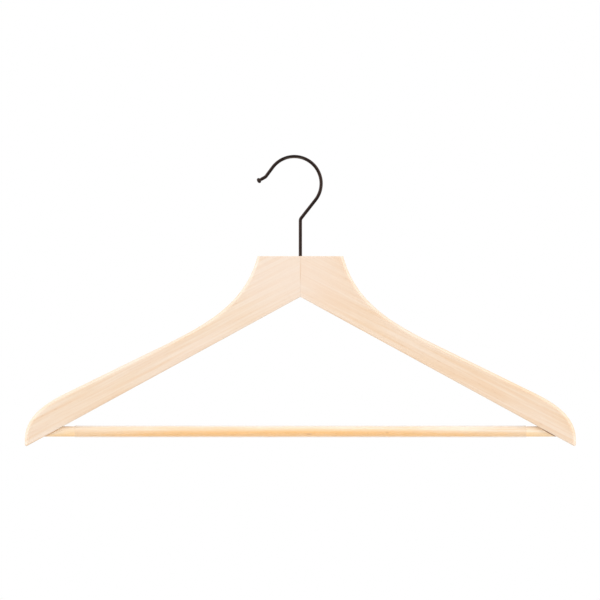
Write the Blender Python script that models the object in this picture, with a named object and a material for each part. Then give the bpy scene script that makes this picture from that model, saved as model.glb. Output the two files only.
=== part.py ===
"""A flat wooden clothes hanger: two finger-jointed arms, a swivelling wire hook and a trouser bar.

Metres, +Z up, front towards -Y. The origin is the rail seat, the underside of the hook's crown
where it rests on a rail. The wooden frame turns about the hook's stem, parallel to Z.
"""
from math import cos, hypot, pi, radians, sin, tan

import bmesh
import bpy
from mathutils import Matrix, Vector
from mathutils.geometry import interpolate_bezier

# Fits
GAP = 0.0003                     # between two pieces that touch

# Hook, one bent wire
WIRE_R = 0.0014
CROWN_R = 0.0220                 # centreline of the crown
CROWN_TIP_ANGLE = radians(143.2)   # where the crown runs into the straight tip leg
CROWN_BACK_ANGLE = radians(-38.2)  # where it runs into the straight back leg
TIP_LEG = 0.0098
TIP_FLARE = radians(209.0)       # direction of the last stretch, towards the head
TIP_FLARE_LENGTH = 0.0061        # from the bend to the middle of the head
WIRE_BEND_R = 0.0040             # at both small bends
STEM_X = 0.0050                  # the stem and the frame's middle plane, beside the rail seat
HEAD_R = 0.00225                 # upset button at the tip
HEAD_THICK = 0.0026

# Wooden frame, heights below the top of the neck
NECK_TOP = -0.0801
THICKNESS = 0.0140
HALF_WIDTH = 0.2250
NECK_HALF = 0.0350
NECK_SIDE_ANGLE = radians(-75.0)   # how steeply the neck's sides leave its top
NECK_HANDLE = 0.0365
SHOULDER_SLOPE = radians(-26.0)
SHOULDER_DROP = 0.01845          # where the two shoulder lines would cross
SHOULDER_START = 0.1090
SHOULDER_HANDLE = 0.0430
SHOULDER_END = 0.1900
NOSE_HANDLES = (0.0180, 0.0200)
NOSE_BOTTOM = 0.0060             # above the sharp corner that POINT_R rounds
UNDER_SLOPE = radians(-28.6)
APEX_DROP = 0.0333               # top of the notch under the neck
POINT_R = 0.0014                 # the low corner of each arm
TOP_ROUND = 0.0030               # roundover along the sides, shoulders and noses
UNDER_EASE = 0.0010
NECK_EASE = 0.0008

# Glued finger joint at the neck, running down the grain of both arms
FINGER_REACH = 0.0032            # from the middle plane to a fingertip
FINGER_PITCH = 0.0060
FINGER_COUNT = 2
FINGERTIP = 0.0007               # the blunt end

# Hook fastening in the neck
BORE_R = 0.0018
COUNTERBORE_R = 0.0040
COUNTERBORE_DEPTH = 0.0100       # above the notch
WASHER_R = 0.0035
WASHER_THICK = 0.0005
NUT_FLATS = 0.0055
NUT_HEIGHT = 0.0040
NUT_COLLAR_R = 0.0027
NUT_COLLAR = 0.0017              # height of the round end that holds the nylon ring
NUT_CHAMFER = 0.0003
RING_R = 0.0021
RING_HEIGHT = 0.0012
THREAD_SHOWING = 0.0010          # wire below the nut

# Trouser bar
BAR_R = 0.0042
BAR_DROP = 0.1433
BAR_HALF = 0.2145
BAR_CHAMFER = 0.0006
SLEEVE_WALL = 0.0004
SLEEVE_HALF = 0.1845
BRAD_INSET = 0.0065              # from the bar's end
BRAD_R = 0.0006
BRAD_HEAD_R = 0.0008
BRAD_HEAD = 0.0006
BRAD_LENGTH = 0.0100
BRAD_POINT = 0.0012
BRAD_HOLE_R = 0.0011

# Facets
SHARP_ANGLE = radians(35.0)
WELD = 0.000003                  # vertices nearer than this are one
CROWN_STEPS = 36
HEAD_STEPS = 6
WIRE_RESOLUTION = 6
BEND_STEPS = 5
CURVE_STEPS = 14
POINT_STEPS = 8
EDGE_STEPS = 3
ROUND_SIDES = 32
SMALL_SIDES = 20

BAR_Z = NECK_TOP - BAR_DROP
SLEEVE_R = BAR_R + GAP + SLEEVE_WALL
NOTCH_Z = NECK_TOP - APEX_DROP
SEAT_Z = NOTCH_Z + COUNTERBORE_DEPTH
WASHER_TOP = SEAT_Z - GAP
NUT_TOP = WASHER_TOP - WASHER_THICK - GAP
STEM_END = NUT_TOP - NUT_HEIGHT - THREAD_SHOWING
HOLE_R = WIRE_R + GAP            # through the washer, nut and ring

ALONG_X = Matrix.Rotation(pi / 2, 4, "Y")
ALONG_Y = Matrix.Rotation(-pi / 2, 4, "X")


def clear_scene():
    for obj in list(bpy.data.objects):
        bpy.data.objects.remove(obj, do_unlink=True)


def material(name, colour, roughness, metallic=0.0, alpha=1.0):
    made = bpy.data.materials.new(name)
    made.use_nodes = True
    shader = made.node_tree.nodes["Principled BSDF"]
    shader.inputs["Base Color"].default_value = (*colour, 1.0)
    shader.inputs["Roughness"].default_value = roughness
    shader.inputs["Metallic"].default_value = metallic
    shader.inputs["Alpha"].default_value = alpha
    return made


def add_object(name, data, parent=None):
    """Link an object whose data is drawn in world coordinates, with its origin on its parent."""
    obj = bpy.data.objects.new(name, data)
    bpy.context.collection.objects.link(obj)
    if parent:
        data.transform(Matrix.Translation(-parent.location))
        obj.parent = parent
    return obj


def finish_mesh(name, bm, parent=None):
    bmesh.ops.recalc_face_normals(bm, faces=bm.faces)
    mesh = bpy.data.meshes.new(name)
    bm.to_mesh(mesh)
    bm.free()
    mesh.shade_smooth()
    mesh.set_sharp_from_angle(angle=SHARP_ANGLE)
    return add_object(name, mesh, parent)


def hide_cutter(obj):
    obj.hide_render = True
    obj.display_type = "WIRE"
    return obj


def boolean(obj, cutter, operation="DIFFERENCE"):
    modifier = obj.modifiers.new(cutter.name, "BOOLEAN")
    modifier.operation = operation
    modifier.solver = "EXACT"
    modifier.object = cutter


def rounded_corner(before, corner, after, radius, steps):
    """Points of the arc that rounds a corner, from the leg before it to the leg after it."""
    leg_in = (before - corner).normalized()
    leg_out = (after - corner).normalized()
    half = leg_in.angle(leg_out) / 2
    middle = corner + (leg_in + leg_out).normalized() * radius / sin(half)
    start = corner + leg_in * radius / tan(half) - middle
    axis = leg_out.cross(leg_in)
    turn = pi - 2 * half
    return [middle + Matrix.Rotation(turn * i / steps, 3, axis) @ start for i in range(steps + 1)]


def turned(name, profile, sides, place, parent=None):
    """Turn a profile of (radius, height) about Z, then put it in its place.

    A profile that starts on the axis ends there too. Any other is closed into a ring.
    """
    bm = bmesh.new()
    rim = [bm.verts.new((radius, 0, height)) for radius, height in profile]
    ends = rim[1:] if profile[0][0] == 0 else rim[1:] + rim[:1]
    edges = [bm.edges.new(pair) for pair in zip(rim, ends)]
    bmesh.ops.spin(bm, geom=rim + edges, cent=(0, 0, 0), axis=(0, 0, 1), angle=2 * pi,
                   steps=sides, use_merge=True)
    bmesh.ops.remove_doubles(bm, verts=bm.verts, dist=WELD)
    bm.transform(place)
    return finish_mesh(name, bm, parent)


def rod(name, radius, low, high, sides, place, parent=None):
    profile = [(0, low), (radius, low), (radius, high), (0, high)]
    return turned(name, profile, sides, place, parent)


# Hook and its fastening

def hook_points():
    """Centreline of the wire with its radius at each point, from the head to the threaded end."""
    centre = Vector((0, 0, -CROWN_R + WIRE_R))
    crown = []
    for i in range(CROWN_STEPS + 1):
        angle = CROWN_TIP_ANGLE + (CROWN_BACK_ANGLE - CROWN_TIP_ANGLE) * i / CROWN_STEPS
        crown.append(centre + CROWN_R * Vector((cos(angle), 0, sin(angle))))
    tip_way = Vector((-sin(CROWN_TIP_ANGLE), 0, cos(CROWN_TIP_ANGLE)))
    tip_bend = crown[0] + tip_way * TIP_LEG
    flare = Vector((cos(TIP_FLARE), 0, sin(TIP_FLARE)))
    head = tip_bend + flare * TIP_FLARE_LENGTH
    back_way = Vector((sin(CROWN_BACK_ANGLE), 0, -cos(CROWN_BACK_ANGLE)))
    stem_bend = crown[-1] + back_way * (crown[-1].x - STEM_X) / -back_way.x
    stem_end = Vector((STEM_X, 0, STEM_END))

    points = []
    for i in range(1, HEAD_STEPS):            # the upset head, an ellipse cut off at its neck
        angle = i * pi / HEAD_STEPS
        points.append((head + flare * HEAD_THICK / 2 * cos(angle), HEAD_R * sin(angle)))
    points.append((head - flare * (HEAD_THICK / 2 + GAP), WIRE_R))
    line = rounded_corner(head, tip_bend, crown[0], WIRE_BEND_R, BEND_STEPS)
    line += crown
    line += rounded_corner(crown[-1], stem_bend, stem_end, WIRE_BEND_R, BEND_STEPS)
    return points + [(point, WIRE_R) for point in line + [stem_end]]


def make_hook(finish):
    points = hook_points()
    curve = bpy.data.curves.new("hook", "CURVE")
    curve.dimensions = "3D"
    curve.bevel_depth = WIRE_R
    curve.bevel_resolution = WIRE_RESOLUTION
    curve.use_fill_caps = True
    spline = curve.splines.new("POLY")
    spline.points.add(len(points) - 1)
    for knot, (place, radius) in zip(spline.points, points):
        knot.co = (*place, 1)
        knot.radius = radius / WIRE_R
    spline.use_smooth = True
    hook = add_object("hook", curve)
    hook.data.materials.append(finish)
    return hook


def on_stem(height):
    return Matrix.Translation((STEM_X, 0, height))


def make_washer(finish):
    profile = [(HOLE_R, -WASHER_THICK), (WASHER_R, -WASHER_THICK), (WASHER_R, 0), (HOLE_R, 0)]
    washer = turned("swivel_washer", profile, ROUND_SIDES, on_stem(WASHER_TOP))
    washer.data.materials.append(finish)


def make_lock_nut(finish):
    """A hexagon nut with a round collar at its lower end, bored out for the nylon ring."""
    corner = NUT_FLATS / 2 / cos(pi / 6)
    recess = RING_R + GAP
    profile = [(HOLE_R, 0), (corner - NUT_CHAMFER, 0), (corner, -NUT_CHAMFER),
               (corner, NUT_COLLAR - NUT_HEIGHT), (NUT_COLLAR_R, NUT_COLLAR - NUT_HEIGHT),
               (NUT_COLLAR_R, -NUT_HEIGHT), (recess, -NUT_HEIGHT),
               (recess, RING_HEIGHT + GAP - NUT_HEIGHT),
               (HOLE_R, RING_HEIGHT + GAP - NUT_HEIGHT)]
    nut = turned("lock_nut", profile, ROUND_SIDES, on_stem(NUT_TOP))
    bm = bmesh.new()
    bmesh.ops.create_cone(bm, cap_ends=True, segments=6, radius1=corner, radius2=corner,
                          depth=3 * NUT_HEIGHT, matrix=on_stem(NUT_TOP))   # past both ends of the nut
    hexagon = hide_cutter(finish_mesh("nut_hexagon", bm))
    boolean(nut, hexagon, "INTERSECT")
    nut.data.materials.append(finish)


def make_nut_ring(finish):
    profile = [(HOLE_R, 0), (RING_R, 0), (RING_R, RING_HEIGHT), (HOLE_R, RING_HEIGHT)]
    ring = turned("lock_nut_ring", profile, ROUND_SIDES, on_stem(NUT_TOP - NUT_HEIGHT))
    ring.data.materials.append(finish)


# Wooden frame

def shoulder_point(across):
    return Vector((across, 0, -SHOULDER_DROP + tan(SHOULDER_SLOPE) * across))


def under_point(across, inset=0.0):
    """A point of the arm's straight underside, or of the line inset above it."""
    return Vector((across, 0, -APEX_DROP + inset / cos(UNDER_SLOPE) + tan(UNDER_SLOPE) * across))


def upper_edge():
    """One arm's upper edge from the neck's top corner to the bottom of the nose, not yet rounded."""
    neck = Vector((NECK_HALF, 0, 0))
    side_way = Vector((cos(NECK_SIDE_ANGLE), 0, sin(NECK_SIDE_ANGLE)))
    shoulder_way = Vector((cos(SHOULDER_SLOPE), 0, sin(SHOULDER_SLOPE)))
    start, end = shoulder_point(SHOULDER_START), shoulder_point(SHOULDER_END)
    bottom = under_point(HALF_WIDTH) + Vector((0, 0, NOSE_BOTTOM))
    up = Vector((0, 0, 1))
    side = interpolate_bezier(neck, neck + side_way * NECK_HANDLE,
                              start - shoulder_way * SHOULDER_HANDLE, start, CURVE_STEPS)
    nose = interpolate_bezier(end, end + shoulder_way * NOSE_HANDLES[0],
                              bottom + up * NOSE_HANDLES[1], bottom, CURVE_STEPS)
    return side + nose


def half_outline(top_inset, under_inset, neck_inset):
    """One arm's edge from the neck round the nose to the notch, drawn in from its outer line."""
    edge = upper_edge()
    inset = []
    for before, point, after in zip(edge[:1] + edge, edge, edge[1:] + edge[-1:]):
        way = (after - before).normalized()
        inset.append(point + top_inset * Vector((way.z, 0, -way.x)))
    first = (inset[1] - inset[0]).normalized()
    inset[0] += first * (-neck_inset - inset[0].z) / first.z
    nose_x = HALF_WIDTH - top_inset
    inset[-1].x = nose_x
    point = under_point(nose_x, under_inset)
    radius = max(POINT_R - top_inset, POINT_R / 4)
    corner = rounded_corner(inset[-1], point, under_point(0, under_inset), radius, POINT_STEPS)
    return inset + corner + [under_point(0, under_inset)]


def eased(radius, depth):
    """How far a roundover of this radius draws an edge in, at a depth below the face."""
    return 0.0 if depth >= radius else radius - (radius ** 2 - (radius - depth) ** 2) ** 0.5


def frame_blank():
    """The whole wooden outline as one mesh, before it is split into two arms at the joint."""
    depths = [TOP_ROUND * (1 - cos(i * pi / 2 / EDGE_STEPS)) for i in range(EDGE_STEPS + 1)]
    levels = [(-THICKNESS / 2 + depth, depth) for depth in depths]
    levels += [(THICKNESS / 2 - depth, depth) for depth in reversed(depths)]
    bm = bmesh.new()
    loops = []
    for across, depth in levels:
        right = half_outline(eased(TOP_ROUND, depth), eased(UNDER_EASE, depth),
                             eased(NECK_EASE, depth))
        left = [Vector((-p.x, 0, p.z)) for p in reversed(right[:-1])]
        place = Vector((STEM_X, across, NECK_TOP))
        rim = [bm.verts.new(place + p) for p in right + left]
        loops.append([bm.edges.new(pair) for pair in zip(rim, rim[1:] + rim[:1])])
    for near, far in zip(loops, loops[1:]):
        bmesh.ops.bridge_loops(bm, edges=near + far)
    for end in (loops[0], loops[-1]):
        bmesh.ops.contextual_create(bm, geom=end)
    bmesh.ops.recalc_face_normals(bm, faces=bm.faces)
    mesh = bpy.data.meshes.new("frame_blank")
    bm.to_mesh(mesh)
    bm.free()
    mesh.shade_smooth()
    mesh.set_sharp_from_angle(angle=SHARP_ANGLE)
    return mesh


def finger_line(side):
    """The joint face of one arm from front to back, as (across, depth).

    side is -1 for the left arm and 1 for the right. The two faces stay GAP apart.
    """
    steep = FINGER_REACH / (FINGER_PITCH / 4 - FINGERTIP / 2)
    half_gap = side * GAP / 2
    slide = half_gap * hypot(1, steep)        # a flank's move along X for that gap
    reach = FINGER_COUNT * FINGER_PITCH / 2
    levels = [0] + FINGER_COUNT * [FINGER_REACH, -FINGER_REACH] + [0]
    line = [(half_gap, -THICKNESS)]
    for i, (low, high) in enumerate(zip(levels, levels[1:])):
        crossing = i * FINGER_PITCH / 2 - reach
        way = 1 if high > low else -1
        for level in (low, high):
            across = level + half_gap
            line.append((across, crossing + way * (across - slide) / steep))
    line.append((half_gap, THICKNESS))
    return line


def joint_cutter(name, side):
    """Everything past one arm's joint face."""
    far = -side * 2 * HALF_WIDTH
    outline = finger_line(side) + [(far, THICKNESS), (far, -THICKNESS)]
    bm = bmesh.new()
    low = NECK_TOP - 2 * BAR_DROP
    floor = bm.faces.new([bm.verts.new((STEM_X + x, y, low)) for x, y in outline])
    pushed = bmesh.ops.extrude_face_region(bm, geom=[floor])
    top = [v for v in pushed["geom"] if isinstance(v, bmesh.types.BMVert)]
    bmesh.ops.translate(bm, verts=top, vec=(0, 0, 3 * BAR_DROP))
    return hide_cutter(finish_mesh(name, bm))


def brad_place(side):
    """A brad enters from the back face and points towards the front."""
    across = STEM_X + side * (BAR_HALF - BRAD_INSET)
    return Matrix.Translation((across, THICKNESS / 2 - GAP, BAR_Z)) @ ALONG_Y


def make_cutters():
    low, high = NOTCH_Z - COUNTERBORE_DEPTH, NECK_TOP + COUNTERBORE_DEPTH
    stepped = [(0, low), (COUNTERBORE_R, low), (COUNTERBORE_R, SEAT_Z), (BORE_R, SEAT_Z),
               (BORE_R, high), (0, high)]
    bore = turned("stem_bore", stepped, ROUND_SIDES, on_stem(0))
    reach = BAR_HALF + GAP
    socket = rod("bar_sockets", BAR_R + GAP, -reach, reach, ROUND_SIDES,
                 Matrix.Translation((STEM_X, 0, BAR_Z)) @ ALONG_X)
    cutters = {"wood": [bore, socket], "bar": []}
    for side, name in ((-1, "left_brad_hole"), (1, "right_brad_hole")):
        hole = rod(name, BRAD_HOLE_R, -BRAD_LENGTH - GAP, BAR_R, SMALL_SIDES, brad_place(side))
        cutters["wood"].append(hole)
        cutters["bar"].append(hole)
    for group in cutters.values():
        for cutter in group:
            hide_cutter(cutter)
    return cutters


def make_arm(name, side, cutters, pivot, finish):
    arm = add_object(name, frame_blank(), pivot)
    arm.data.materials.append(finish)
    for cutter in cutters:
        boolean(arm, cutter)
    boolean(arm, joint_cutter(f"{name}_joint", side))


def make_bar(cutters, pivot, finish):
    end, rim = BAR_HALF, BAR_R - BAR_CHAMFER
    profile = [(0, -end), (rim, -end), (BAR_R, BAR_CHAMFER - end),
               (BAR_R, end - BAR_CHAMFER), (rim, end), (0, end)]
    place = Matrix.Translation((STEM_X, 0, BAR_Z)) @ ALONG_X
    bar = turned("trouser_bar", profile, ROUND_SIDES, place, pivot)
    bar.data.materials.append(finish)
    for cutter in cutters:
        boolean(bar, cutter)


def make_sleeve(pivot, finish):
    inner, end = BAR_R + GAP, SLEEVE_HALF
    profile = [(inner, -end), (SLEEVE_R, -end), (SLEEVE_R, end), (inner, end)]
    place = Matrix.Translation((STEM_X, 0, BAR_Z)) @ ALONG_X
    sleeve = turned("bar_sleeve", profile, ROUND_SIDES, place, pivot)
    sleeve.data.materials.append(finish)


def make_brad(name, side, pivot, finish):
    profile = [(0, -BRAD_LENGTH), (BRAD_R, BRAD_POINT - BRAD_LENGTH), (BRAD_R, -BRAD_HEAD),
               (BRAD_HEAD_R, -BRAD_HEAD), (BRAD_HEAD_R, 0), (0, 0)]
    brad = turned(name, profile, SMALL_SIDES, brad_place(side), pivot)
    brad.data.materials.append(finish)


def main():
    clear_scene()
    dark_nickel = material("dark_nickel_wire", (0.030, 0.025, 0.022), 0.22, metallic=1.0)
    zinc = material("zinc_plated_steel", (0.62, 0.63, 0.64), 0.35, metallic=1.0)
    nylon = material("nylon", (0.86, 0.87, 0.84), 0.45)
    left_wood = material("left_arm_wood", (0.90, 0.71, 0.53), 0.45)
    right_wood = material("right_arm_wood", (0.90, 0.69, 0.49), 0.45)
    dowel_wood = material("dowel_wood", (0.91, 0.70, 0.47), 0.50)
    vinyl = material("clear_vinyl", (0.95, 0.80, 0.58), 0.20, alpha=0.45)

    make_hook(dark_nickel)
    make_washer(zinc)
    make_lock_nut(zinc)
    make_nut_ring(nylon)

    pivot = bpy.data.objects.new("swivel_axis", None)
    pivot.location = (STEM_X, 0, NECK_TOP)
    bpy.context.collection.objects.link(pivot)
    cutters = make_cutters()
    make_arm("left_arm", -1, cutters["wood"], pivot, left_wood)
    make_arm("right_arm", 1, cutters["wood"], pivot, right_wood)
    make_bar(cutters["bar"], pivot, dowel_wood)
    make_sleeve(pivot, vinyl)
    make_brad("left_bar_brad", -1, pivot, zinc)
    make_brad("right_bar_brad", 1, pivot, zinc)
    bpy.context.view_layer.update()


main()
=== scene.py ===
from math import asin, cos, pi, radians, sin, tan

import bmesh
import bpy
from mathutils import Matrix, Vector
from mathutils.geometry import interpolate_bezier


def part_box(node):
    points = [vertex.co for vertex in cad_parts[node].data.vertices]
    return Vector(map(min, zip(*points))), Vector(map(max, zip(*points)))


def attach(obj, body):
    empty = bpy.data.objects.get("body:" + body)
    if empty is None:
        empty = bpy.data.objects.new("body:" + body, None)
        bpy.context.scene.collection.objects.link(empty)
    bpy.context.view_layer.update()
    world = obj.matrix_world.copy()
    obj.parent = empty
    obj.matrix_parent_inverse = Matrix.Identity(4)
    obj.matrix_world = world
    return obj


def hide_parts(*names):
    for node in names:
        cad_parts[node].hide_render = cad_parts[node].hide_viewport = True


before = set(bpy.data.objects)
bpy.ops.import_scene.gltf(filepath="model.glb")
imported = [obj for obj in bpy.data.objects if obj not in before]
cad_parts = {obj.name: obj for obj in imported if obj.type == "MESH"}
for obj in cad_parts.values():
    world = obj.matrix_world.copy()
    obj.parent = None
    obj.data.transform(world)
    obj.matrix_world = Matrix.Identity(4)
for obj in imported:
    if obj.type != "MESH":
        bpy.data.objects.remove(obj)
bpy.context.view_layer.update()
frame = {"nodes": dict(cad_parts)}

mm = 0.001
print("frame loaded:", ", ".join(frame["nodes"]))

# Places and sizes that the frame gives
armLow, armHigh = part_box("left_arm")
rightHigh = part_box("right_arm")[1]
hookLow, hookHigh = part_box("hook")
barLow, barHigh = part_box("trouser_bar")
sleeveLow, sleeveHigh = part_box("bar_sleeve")
washerLow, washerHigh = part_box("swivel_washer")
nutLow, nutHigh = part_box("lock_nut")
ringLow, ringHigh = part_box("lock_nut_ring")
bradLow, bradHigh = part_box("right_bar_brad")

stemX = (armLow.x + rightHigh.x) / 2
halfWidth = (rightHigh.x - armLow.x) / 2
thickness = armHigh.y - armLow.y
neckTop = armHigh.z
wireRadius = hookHigh.z / 2          # the rail seat, under the crown, is at zero
crownRadius = hookHigh.x - wireRadius
barRadius = (barHigh.z - barLow.z) / 2
barZ = (barHigh.z + barLow.z) / 2
barHalf = (barHigh.x - barLow.x) / 2
alongX = Matrix.Rotation(pi / 2, 4, "Y")
alongY = Matrix.Rotation(-pi / 2, 4, "X")
weldDistance = 0.0005 * mm


# Tools used by every piece

def linear(hexColour):
    channels = [int(hexColour[i:i + 2], 16) / 255 for i in (1, 3, 5)]
    return (*[c / 12.92 if c <= 0.04045 else ((c + 0.055) / 1.055) ** 2.4 for c in channels], 1.0)


def addNode(tree, kind, settings=None, links=None):
    node = tree.nodes.new(kind)
    for key, value in (settings or {}).items():
        if key == "stops":
            ramp = node.color_ramp.elements
            while len(ramp) < len(value):
                ramp.new(1.0)
            for stop, (place, colour) in zip(ramp, value):
                stop.position = place
                stop.color = colour
        elif isinstance(key, str) and hasattr(node, key):
            setattr(node, key, value)
        else:
            node.inputs[key].default_value = value
    for key, socket in (links or {}).items():
        tree.links.new(socket, node.inputs[key])
    return node


def newMaterial(name):
    material = bpy.data.materials.new(name)
    material.use_nodes = True
    return material, material.node_tree, material.node_tree.nodes["Principled BSDF"]


def meshFrom(name, bm, sharpAngle=30):
    mesh = bpy.data.meshes.new(name)
    bm.to_mesh(mesh)
    bm.free()
    mesh.shade_smooth()
    mesh.set_sharp_from_angle(angle=radians(sharpAngle))
    piece = bpy.data.objects.new(name, mesh)
    bpy.context.collection.objects.link(piece)
    return piece


def settle(piece, material, body, node):
    piece.data.materials.clear()
    piece.data.materials.append(material)
    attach(piece, body)
    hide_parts(node)


def combine(piece, other, operation="DIFFERENCE", sharpAngle=30):
    modifier = piece.modifiers.new("cut", "BOOLEAN")
    modifier.operation = operation
    modifier.solver = "EXACT"
    modifier.object = other
    evaluated = piece.evaluated_get(bpy.context.evaluated_depsgraph_get())
    mesh = bpy.data.meshes.new_from_object(evaluated)
    piece.modifiers.clear()
    piece.data = mesh
    mesh.shade_smooth()
    mesh.set_sharp_from_angle(angle=radians(sharpAngle))
    bpy.data.objects.remove(other, do_unlink=True)


def turned(name, profile, steps, place):
    # profile holds (radius, height); one that starts on the axis ends there, any other closes into a ring
    bm = bmesh.new()
    rim = [bm.verts.new((radius, 0, height)) for radius, height in profile]
    ends = rim[1:] if profile[0][0] == 0 else rim[1:] + rim[:1]
    edges = [bm.edges.new(pair) for pair in zip(rim, ends)]
    bmesh.ops.spin(bm, geom=rim + edges, cent=(0, 0, 0), axis=(0, 0, 1), angle=2 * pi,
                   steps=steps, use_merge=True)
    bmesh.ops.remove_doubles(bm, verts=bm.verts, dist=weldDistance)
    bmesh.ops.recalc_face_normals(bm, faces=bm.faces)
    bm.transform(place)
    return meshFrom(name, bm)


def roundedCorner(before, corner, after, radius, steps):
    legIn = (before - corner).normalized()
    legOut = (after - corner).normalized()
    half = legIn.angle(legOut) / 2
    middle = corner + (legIn + legOut).normalized() * radius / sin(half)
    start = corner + legIn * radius / tan(half) - middle
    axis = legOut.cross(legIn)
    turn = pi - 2 * half
    return [middle + Matrix.Rotation(turn * i / steps, 3, axis) @ start for i in range(steps + 1)]


# Wooden arms

armShape = {
    "neckHalf": 35.0 * mm,
    "neckSide": radians(-75),
    "neckHandle": 36.5 * mm,
    "shoulderSlope": radians(-26),
    "shoulderDrop": 18.45 * mm,
    "shoulderStart": 109 * mm,
    "shoulderHandle": 43 * mm,
    "shoulderEnd": 190 * mm,
    "noseHandles": (18 * mm, 20 * mm),
    "noseBottom": 6 * mm,
    "underSlope": radians(-28.6),
    "apexDrop": 33.3 * mm,
    "pointRadius": 1.5 * mm,
    "topRound": 3.0 * mm,
    "underEase": 1.0 * mm,
    "neckEase": 0.6 * mm,
    "curveSteps": 44,
    "pointSteps": 8,
    "edgeSteps": 9,
    "supportLoop": 0.5 * mm,
}
jointShape = {
    "reach": 3.2 * mm,
    "pitch": 6.0 * mm,
    "fingers": 2,
    "tip": 0.7 * mm,
    "glueLine": 0.05 * mm,
}
boreShape = {
    "radius": 1.75 * mm,
    "rimEase": 0.25 * mm,
    "counterRadius": 4.0 * mm,
    "seatGap": 0.02 * mm,
    "overshoot": 5 * mm,
    "socketClearance": 0.15 * mm,
    "socketEnd": 0.3 * mm,
    "bradHole": 0.85 * mm,
    "bradEnd": 0.1 * mm,
    "bradSteps": 32,
    "steps": 64,
}


def underPoint(across, inset=0.0):
    slope = armShape["underSlope"]
    return Vector((across, 0, inset / cos(slope) - armShape["apexDrop"] + tan(slope) * across))


def upperEdge():
    s = armShape
    slopeWay = Vector((cos(s["shoulderSlope"]), 0, sin(s["shoulderSlope"])))
    sideWay = Vector((cos(s["neckSide"]), 0, sin(s["neckSide"])))
    start, end = [Vector((x, 0, -s["shoulderDrop"] + tan(s["shoulderSlope"]) * x))
                  for x in (s["shoulderStart"], s["shoulderEnd"])]
    neck = Vector((s["neckHalf"], 0, 0))
    nose = underPoint(halfWidth) + Vector((0, 0, s["noseBottom"]))
    neckLine = interpolate_bezier(neck, neck + sideWay * s["neckHandle"],
                                  start - slopeWay * s["shoulderHandle"], start, s["curveSteps"])
    noseLine = interpolate_bezier(end, end + slopeWay * s["noseHandles"][0],
                                  nose + Vector((0, 0, s["noseHandles"][1])), nose, s["curveSteps"])
    return neckLine + noseLine


def halfOutline(topInset, underInset, neckInset):
    edge = upperEdge()
    line = []
    for before, point, after in zip(edge[:1] + edge, edge, edge[1:] + edge[-1:]):
        way = (after - before).normalized()
        line.append(point + topInset * Vector((way.z, 0, -way.x)))
    first = (line[1] - line[0]).normalized()
    line[0] += first * (-neckInset - line[0].z) / first.z
    noseX = halfWidth - topInset
    line[-1].x = noseX
    radius = max(armShape["pointRadius"] - topInset, armShape["pointRadius"] / 4)
    corner = roundedCorner(line[-1], underPoint(noseX, underInset), underPoint(0, underInset),
                           radius, armShape["pointSteps"])
    return line + corner + [underPoint(0, underInset)]


def eased(radius, depth):
    return 0.0 if depth >= radius else radius - (radius ** 2 - (radius - depth) ** 2) ** 0.5


def frameBlank(name):
    s = armShape
    turns = [i * pi / 2 / s["edgeSteps"] for i in range(s["edgeSteps"] + 1)]
    depths = [s["topRound"] * (1 - cos(turn)) for turn in turns]
    levels = [(-thickness / 2 + depth, depth, 0) for depth in depths]
    levels += [(thickness / 2 - depth, depth, 0) for depth in reversed(depths)]
    support = s["supportLoop"]       # keeps the roundover's shading off the flat faces
    levels = [(-thickness / 2, 0, support)] + levels + [(thickness / 2, 0, support)]
    bm = bmesh.new()
    loops = []
    for across, depth, more in levels:
        right = halfOutline(eased(s["topRound"], depth) + more, eased(s["underEase"], depth) + more,
                            eased(s["neckEase"], depth) + more)
        left = [Vector((-p.x, 0, p.z)) for p in reversed(right[:-1])]
        rim = [bm.verts.new(Vector((stemX, across, neckTop)) + p) for p in right + left]
        loops.append([bm.edges.new(pair) for pair in zip(rim, rim[1:] + rim[:1])])
    for near, far in zip(loops, loops[1:]):
        bmesh.ops.bridge_loops(bm, edges=near + far)
    for end in (loops[0], loops[-1]):
        bmesh.ops.contextual_create(bm, geom=end)
    bmesh.ops.recalc_face_normals(bm, faces=bm.faces)
    return meshFrom(name, bm)


def jointCutter(side):
    # everything past one arm's glued finger face, side is -1 for the left arm
    s = jointShape
    steep = s["reach"] / (s["pitch"] / 4 - s["tip"] / 2)
    halfGap = side * s["glueLine"] / 2
    slide = halfGap * (1 + steep ** 2) ** 0.5
    levels = [0] + s["fingers"] * [s["reach"], -s["reach"]] + [0]
    line = [(halfGap, -thickness)]
    for i, (near, after) in enumerate(zip(levels, levels[1:])):
        crossing = (i - s["fingers"]) * s["pitch"] / 2
        slant = 1 if after > near else -1
        line += [(level + halfGap, crossing + slant * (level + halfGap - slide) / steep)
                 for level in (near, after)]
    far = -side * 2 * halfWidth
    line += [(halfGap, thickness), (far, thickness), (far, -thickness)]
    bm = bmesh.new()
    rim = [bm.verts.new((stemX + x, y, neckTop - halfWidth)) for x, y in line]
    grown = bmesh.ops.extrude_face_region(bm, geom=[bm.faces.new(rim)])["geom"]
    upper = [v for v in grown if isinstance(v, bmesh.types.BMVert)]
    bmesh.ops.translate(bm, verts=upper, vec=(0, 0, 1.5 * halfWidth))     # well past the neck
    bmesh.ops.recalc_face_normals(bm, faces=bm.faces)
    return meshFrom("jointCutter", bm)


def boreCutter():
    # the stem's bore with its eased rim, and the counterbore for the nut
    s = boreShape
    seat = washerHigh.z + s["seatGap"]
    low, high = neckTop - 2 * armShape["apexDrop"], neckTop + s["overshoot"]
    rim = s["radius"] + s["rimEase"]
    profile = [(0, low), (s["counterRadius"], low), (s["counterRadius"], seat),
               (s["radius"], seat), (s["radius"], neckTop - s["rimEase"]), (rim, neckTop),
               (rim, high), (0, high)]
    return turned("boreCutter", profile, s["steps"], Matrix.Translation((stemX, 0, 0)))


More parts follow.
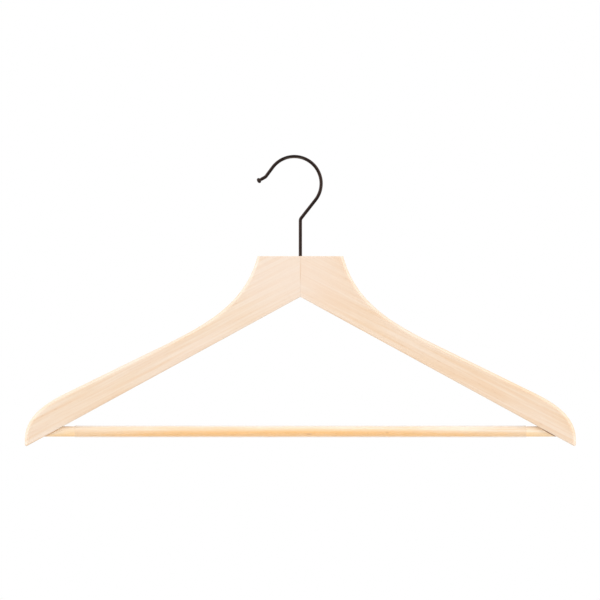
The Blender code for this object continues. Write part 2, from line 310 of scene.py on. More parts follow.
def socketCutter():
    radius, reach = barRadius + boreShape["socketClearance"], barHalf + boreShape["socketEnd"]
    profile = [(0, -reach), (radius, -reach), (radius, reach), (0, reach)]
    place = Matrix.Translation((stemX, 0, barZ)) @ alongX
    return turned("socketCutter", profile, boreShape["steps"], place)


def bradPlace(side):
    across = stemX + side * ((bradLow.x + bradHigh.x) / 2 - stemX)
    return Matrix.Translation((across, bradHigh.y, barZ)) @ alongY


def bradCutter(side):
    radius, length = boreShape["bradHole"], bradHigh.y - bradLow.y + boreShape["bradEnd"]
    profile = [(0, -length), (radius, -length), (radius, barRadius), (0, barRadius)]
    return turned("bradCutter", profile, boreShape["bradSteps"], bradPlace(side))


# Lacquered beech: pale, close-grained, sanded smooth, so the eye gets soft streaks that run along the arm,
# small darker flecks and a satin sheen that turns white where the edge rolls away

beechGrain = {
    "drift": (90 * mm, 22 * mm),          # sizes along and across the grain
    "wander": (130 * mm, 30 * mm),
    "streaks": (60 * mm, 1.4 * mm),
    "fibres": (9 * mm, 0.45 * mm),        # real fibres are finer, drawn as coarse as they need to show
    "flecks": (5.5 * mm, 1.1 * mm),
    "ringTilt": 0.35,
    "driftStops": (0.36, 0.50, 0.66),
    "ringRange": {"From Min": -0.2, "From Max": 1.0},
    "fleckRange": {"From Min": 0.26, "From Max": 0.12},
    "fleckChance": {"From Min": 0.55, "From Max": 0.75},
    "streakRange": {"From Min": 0.48, "From Max": 0.72},
    "lightRange": {"From Min": 0.50, "From Max": 0.30},
    "fibreRange": {"From Min": 0.50, "From Max": 0.75},
    "sheenSpread": (-0.06, 0.08),
    "poreDepth": 0.03 * mm,
    "poreStrength": 0.35,
    "lacquerRoughness": 0.22,
}


def beechFinish(name, look):
    grain = beechGrain
    material, tree, shader = newMaterial(name)
    place = addNode(tree, "ShaderNodeTexCoord").outputs["Object"]
    turnedPlace = addNode(tree, "ShaderNodeMapping", {
        "Location": look["shift"], "Rotation": (0, look["grainAngle"], 0)}, {"Vector": place}).outputs[0]

    def stretched(pattern):     # metres to cycles, along and across the grain
        along, across = grain[pattern]
        return addNode(tree, "ShaderNodeMapping", {
            "Scale": (1 / along, 1 / across, 1 / across)}, {"Vector": turnedPlace}).outputs[0]

    drift = addNode(tree, "ShaderNodeTexNoise", {"Scale": 1.0, "Detail": 2.0, "Roughness": 0.5},
                    {"Vector": stretched("drift")})
    wander = addNode(tree, "ShaderNodeTexNoise", {"Scale": 1.0, "Detail": 1.0},
                     {"Vector": stretched("wander")})
    height = addNode(tree, "ShaderNodeSeparateXYZ", {}, {0: turnedPlace})
    bent = addNode(tree, "ShaderNodeMath", {"operation": "MULTIPLY_ADD", 1: look["ringWander"]},
                   {0: wander.outputs[0], 2: height.outputs["Z"]})
    tilted = addNode(tree, "ShaderNodeMath", {"operation": "MULTIPLY_ADD", 1: grain["ringTilt"]},
                     {0: height.outputs["Y"], 2: bent.outputs[0]})
    ringPhase = addNode(tree, "ShaderNodeMath", {"operation": "MULTIPLY", 1: 2 * pi / look["ringSpacing"]},
                        {0: tilted.outputs[0]})
    ringWave = addNode(tree, "ShaderNodeMath", {"operation": "SINE"}, {0: ringPhase.outputs[0]})
    rings = addNode(tree, "ShaderNodeMapRange", grain["ringRange"], {"Value": ringWave.outputs[0]})
    streaks = addNode(tree, "ShaderNodeTexNoise", {"Scale": 1.0, "Detail": 3.0, "Roughness": 0.6},
                      {"Vector": stretched("streaks")})
    fibres = addNode(tree, "ShaderNodeTexNoise", {"Scale": 1.0, "Detail": 3.0, "Roughness": 0.7},
                     {"Vector": stretched("fibres")})
    fleckField = addNode(tree, "ShaderNodeTexVoronoi", {"Scale": 1.0, "Randomness": 1.0},
                         {"Vector": stretched("flecks")})
    flecks = addNode(tree, "ShaderNodeMapRange", grain["fleckRange"],
                     {"Value": fleckField.outputs["Distance"]})
    fleckChance = addNode(tree, "ShaderNodeMapRange", grain["fleckChance"], {"Value": streaks.outputs[0]})
    fleckMask = addNode(tree, "ShaderNodeMath", {"operation": "MULTIPLY"},
                        {0: flecks.outputs[0], 1: fleckChance.outputs[0]})

    tones = [linear(look[tone]) for tone in ("pale", "mid", "warm")]
    body = addNode(tree, "ShaderNodeValToRGB", {"stops": list(zip(grain["driftStops"], tones))},
                   {"Fac": drift.outputs[0]})
    ringTint = addNode(tree, "ShaderNodeMath", {"operation": "MULTIPLY", 1: look["ringDepth"]},
                       {0: rings.outputs[0]})
    ringed = addNode(tree, "ShaderNodeMix", {"data_type": "RGBA", 7: linear(look["late"])},
                     {0: ringTint.outputs[0], 6: body.outputs[0]})
    streakTint = addNode(tree, "ShaderNodeMapRange", {
        **grain["streakRange"], "To Max": look["streakDepth"]}, {"Value": streaks.outputs[0]})
    streaked = addNode(tree, "ShaderNodeMix", {"data_type": "RGBA", 7: linear(look["streak"])},
                       {0: streakTint.outputs[0], 6: ringed.outputs[2]})
    lightTint = addNode(tree, "ShaderNodeMapRange", {
        **grain["lightRange"], "To Max": look["lightDepth"]}, {"Value": streaks.outputs[0]})
    lightened = addNode(tree, "ShaderNodeMix", {"data_type": "RGBA", 7: linear(look["light"])},
                        {0: lightTint.outputs[0], 6: streaked.outputs[2]})
    fibreTint = addNode(tree, "ShaderNodeMapRange", {
        **grain["fibreRange"], "To Max": look["fibreDepth"]}, {"Value": fibres.outputs[0]})
    fibred = addNode(tree, "ShaderNodeMix", {"data_type": "RGBA", 7: linear(look["fibre"])},
                     {0: fibreTint.outputs[0], 6: lightened.outputs[2]})
    fleckTint = addNode(tree, "ShaderNodeMath", {"operation": "MULTIPLY", 1: look["fleckDepth"]},
                        {0: fleckMask.outputs[0]})
    flecked = addNode(tree, "ShaderNodeMix", {"data_type": "RGBA", 7: linear(look["fleck"])},
                      {0: fleckTint.outputs[0], 6: fibred.outputs[2]})
    finished = flecked.outputs[2]
    for mark in look["marks"]:     # a knot, a rim, a stain, a painted shade or a painted shadow line, round one point or axis
        centred = addNode(tree, "ShaderNodeMapping", {
            "vector_type": "TEXTURE", "Location": mark["at"], "Scale": mark["size"],
            "Rotation": (0, mark.get("turn", 0.0), 0)}, {"Vector": place})
        distance = addNode(tree, "ShaderNodeVectorMath", {"operation": "LENGTH"},
                           {0: centred.outputs[0]})
        ragged = addNode(tree, "ShaderNodeMath", {"operation": "MULTIPLY_ADD", 1: mark["ragged"]},
                         {0: fibres.outputs[0], 2: distance.outputs["Value"]})
        reach = addNode(tree, "ShaderNodeMapRange", {
            "From Min": 1.0 + mark["ragged"] / 2, "From Max": mark["core"] + mark["ragged"] / 2,
            "To Max": mark["depth"]}, {"Value": ragged.outputs[0]})
        finished = addNode(tree, "ShaderNodeMix", {"data_type": "RGBA", 7: linear(mark["colour"])},
                           {0: reach.outputs[0], 6: finished}).outputs[2]
    tree.links.new(finished, shader.inputs["Base Color"])

    smooth, rough = [look["roughness"] + change for change in grain["sheenSpread"]]
    sheen = addNode(tree, "ShaderNodeMapRange", {"To Min": smooth, "To Max": rough},
                    {"Value": fibres.outputs[0]})
    tree.links.new(sheen.outputs[0], shader.inputs["Roughness"])
    pores = addNode(tree, "ShaderNodeBump", {
        "Strength": grain["poreStrength"], "Distance": grain["poreDepth"]}, {"Height": fibres.outputs[0]})
    tree.links.new(pores.outputs[0], shader.inputs["Normal"])
    shader.inputs["IOR"].default_value = 1.5
    shader.inputs["Coat Weight"].default_value = look["lacquer"]
    shader.inputs["Coat Roughness"].default_value = grain["lacquerRoughness"]
    shader.inputs["Coat IOR"].default_value = 1.5
    return material


# Marks in the arms' wood: the bore's rim in a darker brown, a paler patch round the neck,
# and the glue that shows as a fine line between the arms

grainTurn = radians(27)
darkBoreRim = {"at": (stemX, 0, neckTop), "size": (2.5 * mm, 2.5 * mm, 40 * mm),
               "core": 0.72, "ragged": 0.15, "depth": 0.8, "colour": "#5a3319"}
paleNeck = {"at": (stemX, 0, neckTop - 18 * mm), "size": (70 * mm, 70 * mm, 50 * mm),
            "core": 0.2, "ragged": 0.1, "depth": 0.6, "colour": "#ecdacb"}
gluedSeam = {"at": (stemX, 0, neckTop - 12 * mm), "size": (0.5 * mm, 40 * mm, 13 * mm),
             "core": 0.3, "ragged": 0.3, "depth": 0.5, "colour": "#dcb184"}
leftLook = {
    "grainAngle": grainTurn, "shift": (0.31, 0.02, 0.17),
    "pale": "#ebd7c4", "mid": "#e9d4be", "warm": "#e8cfb4",
    "late": "#e3c19d", "ringDepth": 0.28, "ringSpacing": 5.5 * mm, "ringWander": 9 * mm,
    "streak": "#dfb78f", "streakDepth": 0.38, "light": "#efe0d0", "lightDepth": 0.4,
    "fibre": "#d2a67c", "fibreDepth": 0.2, "fleck": "#b98455", "fleckDepth": 0.5,
    "roughness": 0.42, "lacquer": 0.6, "marks": [paleNeck, gluedSeam, darkBoreRim],
}
rightLook = dict(leftLook, grainAngle=-grainTurn, shift=(0.07, 0.05, 0.62),
                 pale="#ead3bc", mid="#e9cfb4", warm="#e8c7a5", ringSpacing=6.3 * mm)

beechLeft = beechFinish("lacqueredBeechLeft", leftLook)
beechRight = beechFinish("lacqueredBeechRight", rightLook)

for side, name, node, finish in ((-1, "leftWoodenArm", "left_arm", beechLeft),
                                 (1, "rightWoodenArm", "right_arm", beechRight)):
    arm = frameBlank(name)
    for cutter in (boreCutter(), socketCutter(), bradCutter(side), jointCutter(side)):
        combine(arm, cutter)
    settle(arm, finish, "wooden_frame", node)
    print(arm.name, "made,", len(arm.data.polygons), "faces")


# Hook: drawn steel wire, black nickel plated

hookShape = {
    "tipAngle": radians(143.2),
    "backAngle": radians(-38.2),
    "tipLeg": 9.8 * mm,
    "flareAngle": radians(209),
    "flareLength": 6.1 * mm,
    "bendRadius": 4 * mm,
    "headRadius": 2.25 * mm,
    "headThick": 3.2 * mm,
    "headFlat": 0.04 * pi,          # turn at which the button's round face begins
    "headFullness": 0.8,            # below one the rim is fuller than an ellipse
    "headNeck": 0.75,               # where the button meets the wire, in wire radii
    "pinch": 0.14,                  # the groove behind the button, widening back to the wire
    "pinchCurve": 0.6,
    "pinchStep": 0.12 * mm,
    "pinchSteps": 5,
    "headSteps": 18,
    "crownSteps": 120,
    "bendSteps": 14,
    "sides": 40,
    "threadRise": 1.5 * mm,         # above the nut
    "threadPitch": 0.5 * mm,
    "threadDepth": 0.17 * mm,
    "threadSteps": 4,
    "threadChamfer": 0.3 * mm,
    "sharpAngle": 40,
    "weld": 0.001 * mm,
}


def hookPoints():
    s = hookShape
    middle = Vector((0, 0, wireRadius - crownRadius))
    crown = []
    for i in range(s["crownSteps"] + 1):
        angle = s["tipAngle"] + (s["backAngle"] - s["tipAngle"]) * i / s["crownSteps"]
        crown.append(middle + crownRadius * Vector((cos(angle), 0, sin(angle))))
    tipBend = crown[0] + s["tipLeg"] * Vector((-sin(s["tipAngle"]), 0, cos(s["tipAngle"])))
    flare = Vector((cos(s["flareAngle"]), 0, sin(s["flareAngle"])))
    head = tipBend + flare * s["flareLength"]
    backWay = Vector((sin(s["backAngle"]), 0, -cos(s["backAngle"])))
    stemBend = crown[-1] + backWay * (crown[-1].x - stemX) / -backWay.x
    stemEnd = Vector((stemX, 0, hookLow.z))
    points = []
    neckTurn = pi - asin(s["headNeck"] * wireRadius / s["headRadius"])
    for i in range(s["headSteps"] + 1):
        turn = s["headFlat"] + (neckTurn - s["headFlat"]) * i / s["headSteps"]
        points.append((head + flare * s["headThick"] / 2 * cos(turn),
                       s["headRadius"] * sin(turn) ** s["headFullness"]))
    for i in range(1, s["pinchSteps"] + 1):
        widening = (i / s["pinchSteps"]) ** s["pinchCurve"]
        points.append((head - flare * (s["headThick"] / 2 + i * s["pinchStep"]),
                       wireRadius * (1 - s["pinch"] * (1 - widening))))
    line = roundedCorner(head, tipBend, crown[0], s["bendRadius"], s["bendSteps"]) + crown
    line += roundedCorner(crown[-1], stemBend, stemEnd, s["bendRadius"], s["bendSteps"])
    points += [(point, wireRadius) for point in line]
    threadTop = nutHigh.z + s["threadRise"]
    points.append((Vector((stemX, 0, threadTop)), wireRadius))
    turns = int((threadTop - stemEnd.z) / s["threadPitch"]) - 1
    for i in range(turns * s["threadSteps"]):
        wave = (1 - cos(2 * pi * i / s["threadSteps"])) / 2
        drop = (i + 1) * s["threadPitch"] / s["threadSteps"]
        points.append((Vector((stemX, 0, threadTop - drop)), wireRadius - s["threadDepth"] * wave))
    points.append((stemEnd + Vector((0, 0, s["threadChamfer"])), wireRadius - s["threadDepth"]))
    points.append((stemEnd, wireRadius - 2 * s["threadDepth"]))
    return points


def sweepWire(name, points):
    curve = bpy.data.curves.new(name, "CURVE")
    curve.dimensions = "3D"
    curve.bevel_depth = wireRadius
    curve.bevel_resolution = hookShape["sides"] // 4 - 2
    curve.use_fill_caps = True
    spline = curve.splines.new("POLY")
    spline.points.add(len(points) - 1)
    for along, (place, radius) in zip(spline.points, points):
        along.co = (*place, 1)
        along.radius = radius / wireRadius
    guide = bpy.data.objects.new(name + "Guide", curve)
    bpy.context.collection.objects.link(guide)
    evaluated = guide.evaluated_get(bpy.context.evaluated_depsgraph_get())
    bm = bmesh.new()
    bm.from_mesh(evaluated.to_mesh())
    bpy.data.objects.remove(guide, do_unlink=True)
    bmesh.ops.remove_doubles(bm, verts=bm.verts, dist=hookShape["weld"])
    bmesh.ops.recalc_face_normals(bm, faces=bm.faces)
    return meshFrom(name, bm, hookShape["sharpAngle"])


# Black nickel over drawn wire: near black with a warm cast and glossy, faintly cloudy from the plating
# bath, rubbed brighter under the crown where it slides on a rail

nickelLook = {
    "plate": ("#332926", "#3a2f2b"),
    "rubbed": "#8d857c",
    "cloudSize": 6 * mm,
    "speckSize": 0.35 * mm,
    "cloudStops": (0.35, 0.65),
    "seatReach": {"From Min": 9 * mm, "From Max": 3 * mm},          # either side of the rail
    "seatHeight": {"From Min": 0.9 * mm, "From Max": 0.1 * mm},     # the wire's underside only
    "seatFloor": {"From Min": -6 * mm, "From Max": -4 * mm},        # and nothing lower down the hook
    "gloss": {"To Min": 0.12, "To Max": 0.26},
    "grit": {"Strength": 0.05, "Distance": 0.005 * mm},
}


def blackNickel():
    look = nickelLook
    material, tree, shader = newMaterial("blackNickelWire")
    place = addNode(tree, "ShaderNodeTexCoord").outputs["Object"]
    cloud = addNode(tree, "ShaderNodeTexNoise", {"Scale": 1 / look["cloudSize"], "Detail": 3.0},
                    {"Vector": place})
    specks = addNode(tree, "ShaderNodeTexNoise", {"Scale": 1 / look["speckSize"], "Detail": 2.0},
                     {"Vector": place})
    split = addNode(tree, "ShaderNodeSeparateXYZ", {}, {0: place})
    across = addNode(tree, "ShaderNodeMath", {"operation": "ABSOLUTE"}, {0: split.outputs["X"]})
    nearSeat = addNode(tree, "ShaderNodeMapRange", look["seatReach"], {"Value": across.outputs[0]})
    underside = addNode(tree, "ShaderNodeMapRange", look["seatHeight"], {"Value": split.outputs["Z"]})
    onCrown = addNode(tree, "ShaderNodeMapRange", look["seatFloor"], {"Value": split.outputs["Z"]})
    rubbed = addNode(tree, "ShaderNodeMath", {"operation": "MULTIPLY"},
                     {0: nearSeat.outputs[0], 1: underside.outputs[0]})
    worn = addNode(tree, "ShaderNodeMath", {"operation": "MULTIPLY"},
                   {0: rubbed.outputs[0], 1: onCrown.outputs[0]})
    patchy = addNode(tree, "ShaderNodeMath", {"operation": "MULTIPLY"},
                     {0: worn.outputs[0], 1: specks.outputs[0]})
    tones = [linear(tone) for tone in look["plate"]]
    plate = addNode(tree, "ShaderNodeValToRGB", {"stops": list(zip(look["cloudStops"], tones))},
                    {"Fac": cloud.outputs[0]})
    bare = addNode(tree, "ShaderNodeMix", {"data_type": "RGBA", 7: linear(look["rubbed"])},
                   {0: patchy.outputs[0], 6: plate.outputs[0]})
    tree.links.new(bare.outputs[2], shader.inputs["Base Color"])
    gloss = addNode(tree, "ShaderNodeMapRange", look["gloss"], {"Value": cloud.outputs[0]})
    tree.links.new(gloss.outputs[0], shader.inputs["Roughness"])
    grit = addNode(tree, "ShaderNodeBump", look["grit"], {"Height": specks.outputs[0]})
    tree.links.new(grit.outputs[0], shader.inputs["Normal"])
    shader.inputs["Metallic"].default_value = 1.0
    return material


hook = sweepWire("bentWireHook", hookPoints())
settle(hook, blackNickel(), "swivel_hook", "hook")
print("hook made,", len(hook.data.polygons), "faces")


# Washer, nut and nylon ring, up in the counterbore

fastenerShape = {
    "clearance": 0.06 * mm,
    "washerEase": 0.1 * mm,
    "nutRise": 0.25 * mm,           # brings the nut up to the washer
    "nutChamfer": 0.35 * mm,
    "threadEase": 0.2 * mm,
    "collarRadius": 2.7 * mm,       # the round collar that holds the nylon ring
    "collarHeight": 1.7 * mm,
    "collarEase": 0.4 * mm,
    "collarShoulder": 0.12 * mm,
    "lip": 0.25 * mm,
    "lipLow": 0.05 * mm,
    "lipHigh": 0.15 * mm,
    "ringSeat": 0.2 * mm,
    "ringFit": 0.02 * mm,
    "ringEase": 0.1 * mm,
    "steps": 72,
}


def zincPlate():
    # Zinc plated steel, passivated: bluish bright, slightly cloudy
    material, tree, shader = newMaterial("brightZincPlate")
    place = addNode(tree, "ShaderNodeTexCoord").outputs["Object"]
    cloud = addNode(tree, "ShaderNodeTexNoise", {"Scale": 1 / (1.2 * mm), "Detail": 4.0},
                    {"Vector": place})
    colour = addNode(tree, "ShaderNodeValToRGB", {"stops": [
        (0.3, linear("#b9bcc0")), (0.7, linear("#cfcfca"))]}, {"Fac": cloud.outputs[0]})
    tree.links.new(colour.outputs[0], shader.inputs["Base Color"])
    gloss = addNode(tree, "ShaderNodeMapRange", {"To Min": 0.22, "To Max": 0.42},
                    {"Value": cloud.outputs[0]})
    tree.links.new(gloss.outputs[0], shader.inputs["Roughness"])
    shader.inputs["Metallic"].default_value = 1.0
    return material


def naturalNylon():
    # Nylon, moulded: milky white and slightly waxy
    material, tree, shader = newMaterial("mouldedNylon")
    place = addNode(tree, "ShaderNodeTexCoord").outputs["Object"]
    cloud = addNode(tree, "ShaderNodeTexNoise", {"Scale": 1 / (0.8 * mm), "Detail": 2.0},
                    {"Vector": place})
    colour = addNode(tree, "ShaderNodeValToRGB", {"stops": [
        (0.3, linear("#e4e4dc")), (0.7, linear("#efefe9"))]}, {"Fac": cloud.outputs[0]})
    tree.links.new(colour.outputs[0], shader.inputs["Base Color"])
    shader.inputs["Roughness"].default_value = 0.45
    shader.inputs["IOR"].default_value = 1.53
    shader.inputs["Subsurface Weight"].default_value = 0.2
    shader.inputs["Subsurface Scale"].default_value = 0.5 * mm
    return material


onStem = Matrix.Translation((stemX, 0, 0))
threadHole = wireRadius + fastenerShape["clearance"]
ringRadius = (ringHigh.x - ringLow.x) / 2


def turnWasher():
    outer, ease = (washerHigh.x - washerLow.x) / 2, fastenerShape["washerEase"]
    low, high = washerLow.z, washerHigh.z
    return turned("hookWasher", [
        (threadHole, low), (outer - ease, low), (outer, low + ease),
        (outer, high - ease), (outer - ease, high), (threadHole, high)], fastenerShape["steps"], onStem)


def turnNut():
    s = fastenerShape
    corner = (nutHigh.x - nutLow.x) / 2 / cos(pi / 6)
    low, high = nutLow.z, nutHigh.z + s["nutRise"]
    collar, collarTop = s["collarRadius"], low + s["collarHeight"]
    lip, groove, grooveTop = ringRadius - s["lip"], ringRadius + s["ringFit"], ringHigh.z + s["ringFit"]
    nut = turned("lockNut", [
        (threadHole, high - s["threadEase"]), (threadHole + s["threadEase"], high),
        (corner - s["nutChamfer"], high), (corner, high - s["nutChamfer"]), (corner, collarTop),
        (collar, collarTop), (collar, low + s["collarEase"]),
        (collar - s["collarShoulder"], low + s["collarShoulder"]), (collar - s["collarEase"], low),
        (lip, low + s["lipLow"]), (lip, low + s["lipHigh"]), (groove, low + s["ringSeat"]),
        (groove, grooveTop), (threadHole, grooveTop)], s["steps"], onStem)
    bm = bmesh.new()
    bmesh.ops.create_cone(bm, cap_ends=True, segments=6, radius1=corner, radius2=corner,
                          depth=4 * (high - low), matrix=Matrix.Translation((stemX, 0, low)))
    bmesh.ops.recalc_face_normals(bm, faces=bm.faces)
    combine(nut, meshFrom("hexagon", bm), "INTERSECT")      # leaves the corners rounded by the chamfer
    return nut


def turnNylonRing():
    s = fastenerShape
    low, high = ringLow.z + s["ringSeat"], ringHigh.z
    grip = threadHole - s["ringFit"]
    return turned("nutNylonRing", [
        (grip, low + s["ringEase"]), (threadHole + s["ringEase"], low), (ringRadius, low),
        (ringRadius, high), (grip, high)], s["steps"], onStem)


zinc = zincPlate()
settle(turnWasher(), zinc, "swivel_hook", "swivel_washer")
settle(turnNut(), zinc, "swivel_hook", "lock_nut")
settle(turnNylonRing(), naturalNylon(), "swivel_hook", "lock_nut_ring")
print("washer, nut and nylon ring made")


# Trouser bar and its sleeve

barShape = {
    "chamfer": 0.6 * mm,
    "steps": 96,
    "stretches": 24,
    "entryAcross": 205 * mm,        # where it goes into the arms
    "entryDrop": 0.25 * mm,
}
sleeveShape = {
    "ribs": 40,
    "ribSteps": 4,
    "ribHeight": 0.12 * mm,
    "wall": 0.45 * mm,
    "endEase": 0.1 * mm,
    "boreSteps": 96,
    "sharpAngle": 40,
}
barPlace = Matrix.Translation((stemX, 0, barZ)) @ alongX


def turnBar():
    ease, stretches = barShape["chamfer"], barShape["stretches"]
    straight = barHalf - ease
    wall = [(barRadius, -straight + 2 * straight * i / stretches) for i in range(stretches + 1)]
    endRadius = barRadius - ease
    profile = [(0, -barHalf), (endRadius, -barHalf)] + wall + [(endRadius, barHalf), (0, barHalf)]
    bar = turned("turnedTrouserBar", profile, barShape["steps"], barPlace)
    for side in (-1, 1):
        combine(bar, bradCutter(side))
    return bar


# Marks on the dowel: its lower side painted a warmer, darker amber as painted shade under the light from
# above, two small knots in the wood, and painted shadow lines where it goes into the arms

# painted shade: the dowel's lower half in a warmer, darker amber, as if shaded from the light above
paintedShadeUnderside = {"at": (stemX, 0, barZ - barRadius), "size": (250 * mm, 12 * mm, 1.85 * barRadius),
             "core": 0.6, "ragged": 0.25, "depth": 0.9, "colour": "#fdc468"}
knot = {"at": (stemX + 7 * mm, -barRadius, barZ - 2.0 * mm), "size": (3.2 * mm, 3 * mm, 1.0 * mm),
        "core": 0.1, "ragged": 0.3, "depth": 0.65, "colour": "#c07c34"}
pinKnot = dict(knot, at=(stemX + 71 * mm, -barRadius, barZ - 0.6 * mm),
               size=(2.2 * mm, 2 * mm, 0.7 * mm), depth=0.5)
entryAcross = barShape["entryAcross"]
entryZ = neckTop + underPoint(entryAcross).z - barShape["entryDrop"]
# painted shadow: a dark line on the dowel just under each arm's lower edge where the bar goes in, lighter
# on the left
rightEntryShadow = {"at": (stemX + entryAcross, -barRadius, entryZ),
              "size": (12 * mm, 6 * mm, 0.6 * mm), "turn": -armShape["underSlope"],
              "core": 0.5, "ragged": 0.2, "depth": 1.0, "colour": "#8a4a08"}
leftEntryShadow = dict(rightEntryShadow, at=(stemX - entryAcross, -barRadius, entryZ),
                 turn=armShape["underSlope"], depth=0.7, colour="#cf8f4e")
dowelLook = dict(
    leftLook, grainAngle=0.0, shift=(0.2, 0.4, 0.1),
    pale="#fbf1e4", mid="#f9e8d2", warm="#f6ddbc", late="#f2cf9f", ringDepth=0.22,
    ringSpacing=3.5 * mm, ringWander=7 * mm, streak="#f2c48c", streakDepth=0.35,
    light="#fbf3e6", lightDepth=0.5, fibreDepth=0.2, fleckDepth=0.4, roughness=0.5, lacquer=0.2,
    marks=[paintedShadeUnderside, knot, pinKnot, rightEntryShadow, leftEntryShadow])
settle(turnBar(), beechFinish("lacqueredBeechDowel", dowelLook), "wooden_frame", "trouser_bar")


def clearVinyl():
    # Soft PVC tube, extruded: thin and clear with an amber cast, fine ribs along it for grip,
    # so the wood shows through and its rims catch the light
    material, tree, shader = newMaterial("extrudedClearVinyl")
    place = addNode(tree, "ShaderNodeTexCoord").outputs["Object"]
    haze = addNode(tree, "ShaderNodeTexNoise", {"Scale": 1 / (7 * mm), "Detail": 3.0}, {"Vector": place})
    colour = addNode(tree, "ShaderNodeValToRGB", {"stops": [
        (0.35, linear("#fdf5ea")), (0.65, linear("#fbeddb"))]}, {"Fac": haze.outputs[0]})
    tree.links.new(colour.outputs[0], shader.inputs["Base Color"])
    gloss = addNode(tree, "ShaderNodeMapRange", {"To Min": 0.08, "To Max": 0.2},
                    {"Value": haze.outputs[0]})
    tree.links.new(gloss.outputs[0], shader.inputs["Roughness"])
    rim = addNode(tree, "ShaderNodeLayerWeight", {"Blend": 0.25})
    body = addNode(tree, "ShaderNodeMapRange", {"To Min": 0.08, "To Max": 0.4},
                   {"Value": rim.outputs["Facing"]})
    tree.links.new(body.outputs[0], shader.inputs["Alpha"])
    shader.inputs["IOR"].default_value = 1.53
    shader.inputs["Coat Weight"].default_value = 0.6
    shader.inputs["Coat Roughness"].default_value = 0.08
    return material


def ribbedTube():
    s = sleeveShape
    outer = (sleeveHigh.z - sleeveLow.z) / 2
    sleeveHalf = (sleeveHigh.x - sleeveLow.x) / 2
    around = s["ribSteps"] * s["ribs"]
    bm = bmesh.new()
    rim = []
    for i in range(around):
        angle = 2 * pi * i / around
        radius = outer - s["ribHeight"] * (1 + cos(angle * s["ribs"])) / 2
        rim.append(bm.verts.new((radius * cos(angle), radius * sin(angle), -sleeveHalf)))
    grown = bmesh.ops.extrude_face_region(bm, geom=[bm.faces.new(rim)])["geom"]
    bmesh.ops.translate(bm, verts=[v for v in grown if isinstance(v, bmesh.types.BMVert)],
                        vec=(0, 0, 2 * sleeveHalf))
    rims = [e for e in bm.edges if abs(e.verts[0].co.z - e.verts[1].co.z) < s["endEase"]]
    bmesh.ops.bevel(bm, geom=rims, offset=s["endEase"], affect="EDGES", segments=2, profile=0.5,
                    material=-1)
    bmesh.ops.recalc_face_normals(bm, faces=bm.faces)
    bm.transform(barPlace)
    sleeve = meshFrom("ribbedSleeve", bm, s["sharpAngle"])
    bore, reach = outer - s["ribHeight"] - s["wall"], 2 * sleeveHalf
    profile = [(0, -reach), (bore, -reach), (bore, reach), (0, reach)]
    combine(sleeve, turned("sleeveBore", profile, s["boreSteps"], barPlace), sharpAngle=s["sharpAngle"])
    return sleeve


settle(ribbedTube(), clearVinyl(), "wooden_frame", "bar_sleeve")
print("bar and sleeve made")


# Brads

bradShape = {
    "shank": 0.6 * mm,
    "head": 0.8 * mm,
    "headThick": 0.6 * mm,
    "headEase": 0.08 * mm,
    "underHead": 0.2 * mm,
    "point": 1.2 * mm,
    "steps": 32,
}


def turnBrad(name, side):
    s = bradShape
    length = bradHigh.y - bradLow.y
    return turned(name, [
        (0, -length), (s["shank"], s["point"] - length), (s["shank"], -s["headThick"] - s["underHead"]),
        (s["head"], -s["headThick"]), (s["head"], -s["headEase"]), (s["head"] - s["headEase"], 0), (0, 0)],
        s["steps"], bradPlace(side))


for side, name, node in ((-1, "leftBrad", "left_bar_brad"), (1, "rightBrad", "right_bar_brad")):
    settle(turnBrad(name, side), zinc, "wooden_frame", node)
print("brads made")


# Floor, light and camera

studio = {
    "floorDrop": 1.5,
    "floorSize": 30.0,
    "cameraDistance": 2.7256,
    "lens": 200,
    "aim": (4.7 * mm, -115.9 * mm),
    "frontSky": 0.62,
    "backSky": 0.95,
    "skyTurn": 0.7,
    "panelReach": 1.3,
    "panelBack": -0.6,
    "panelRise": 0.45,
    "panelSize": (1.7, 2.2),
    "panelPower": 21.5,
}


def floorPaint():
    # Matt emulsion, rolled: an even off-white that takes only the softest shading
    material, tree, shader = newMaterial("matteWhiteFloor")
    place = addNode(tree, "ShaderNodeTexCoord").outputs["Object"]
    mottle = addNode(tree, "ShaderNodeTexNoise", {"Scale": 3.0, "Detail": 2.0}, {"Vector": place})
    colour = addNode(tree, "ShaderNodeValToRGB", {"stops": [
        (0.3, linear("#f8f7f5")), (0.7, linear("#faf9f7"))]}, {"Fac": mottle.outputs[0]})
    tree.links.new(colour.outputs[0], shader.inputs["Base Color"])
    shader.inputs["Roughness"].default_value = 0.9
    return material


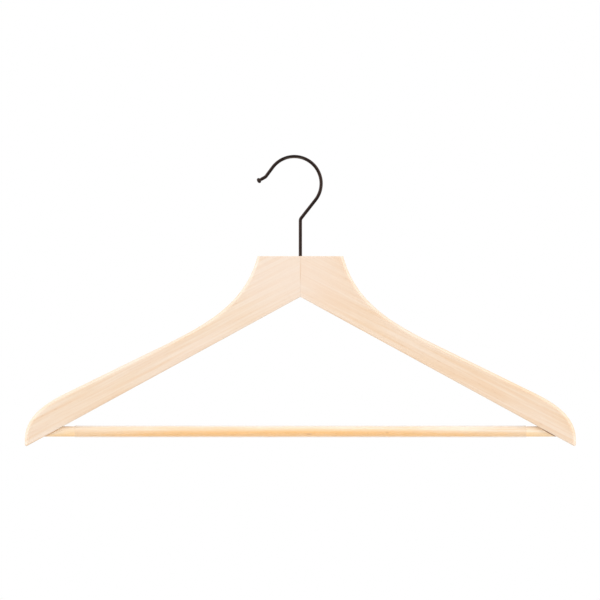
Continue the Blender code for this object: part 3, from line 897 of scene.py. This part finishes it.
bm = bmesh.new()
bmesh.ops.create_grid(bm, x_segments=1, y_segments=1, size=studio["floorSize"] / 2,
                      matrix=Matrix.Translation((0, 0, armLow.z - studio["floorDrop"])))
floor = meshFrom("studioFloor", bm)
floor.data.materials.append(floorPaint())


def softbox(name, place, size, power):
    light = bpy.data.lights.new(name, "AREA")
    light.shape = "RECTANGLE"
    light.size, light.size_y = size
    light.energy = power
    lamp = bpy.data.objects.new(name, light)
    lamp.location = place
    aimPoint = Vector((studio["aim"][0], 0, studio["aim"][1]))
    lamp.rotation_euler = (Vector(place) - aimPoint).to_track_quat("Z", "Y").to_euler()
    lamp.visible_camera = False
    bpy.context.collection.objects.link(lamp)


for side, name in ((-1, "leftPanel"), (1, "rightPanel")):
    softbox(name, (side * studio["panelReach"], studio["panelBack"], studio["panelRise"]),
            studio["panelSize"], studio["panelPower"])

# white to the eye all round, but dim in front of the object, so the wire reflects dark between
# the bright sides
world = bpy.data.worlds.new("whiteStudio")
world.use_nodes = True
sky = world.node_tree
skyPlace = addNode(sky, "ShaderNodeTexCoord").outputs["Generated"]
skyWay = addNode(sky, "ShaderNodeSeparateXYZ", {}, {0: skyPlace})
frontToBack = addNode(sky, "ShaderNodeMapRange", {
    "From Min": 0.0, "From Max": studio["skyTurn"],
    "To Min": studio["frontSky"], "To Max": studio["backSky"]}, {"Value": skyWay.outputs["Y"]})
eye = addNode(sky, "ShaderNodeLightPath").outputs["Is Camera Ray"]
skyStrength = addNode(sky, "ShaderNodeMapRange", {"To Max": 1.0},
                      {"Value": eye, "To Min": frontToBack.outputs[0]})
background = sky.nodes["Background"]
background.inputs["Color"].default_value = linear("#ffffff")
sky.links.new(skyStrength.outputs[0], background.inputs["Strength"])
scene = bpy.context.scene
scene.world = world
scene.view_settings.view_transform = "Standard"

camera = bpy.data.cameras.new("frontCamera")
camera.lens = studio["lens"]
viewer = bpy.data.objects.new("frontCamera", camera)
viewer.location = (studio["aim"][0], -studio["cameraDistance"], studio["aim"][1])
viewer.rotation_euler = (pi / 2, 0, 0)
bpy.context.collection.objects.link(viewer)
scene.camera = viewer
print("studio made")
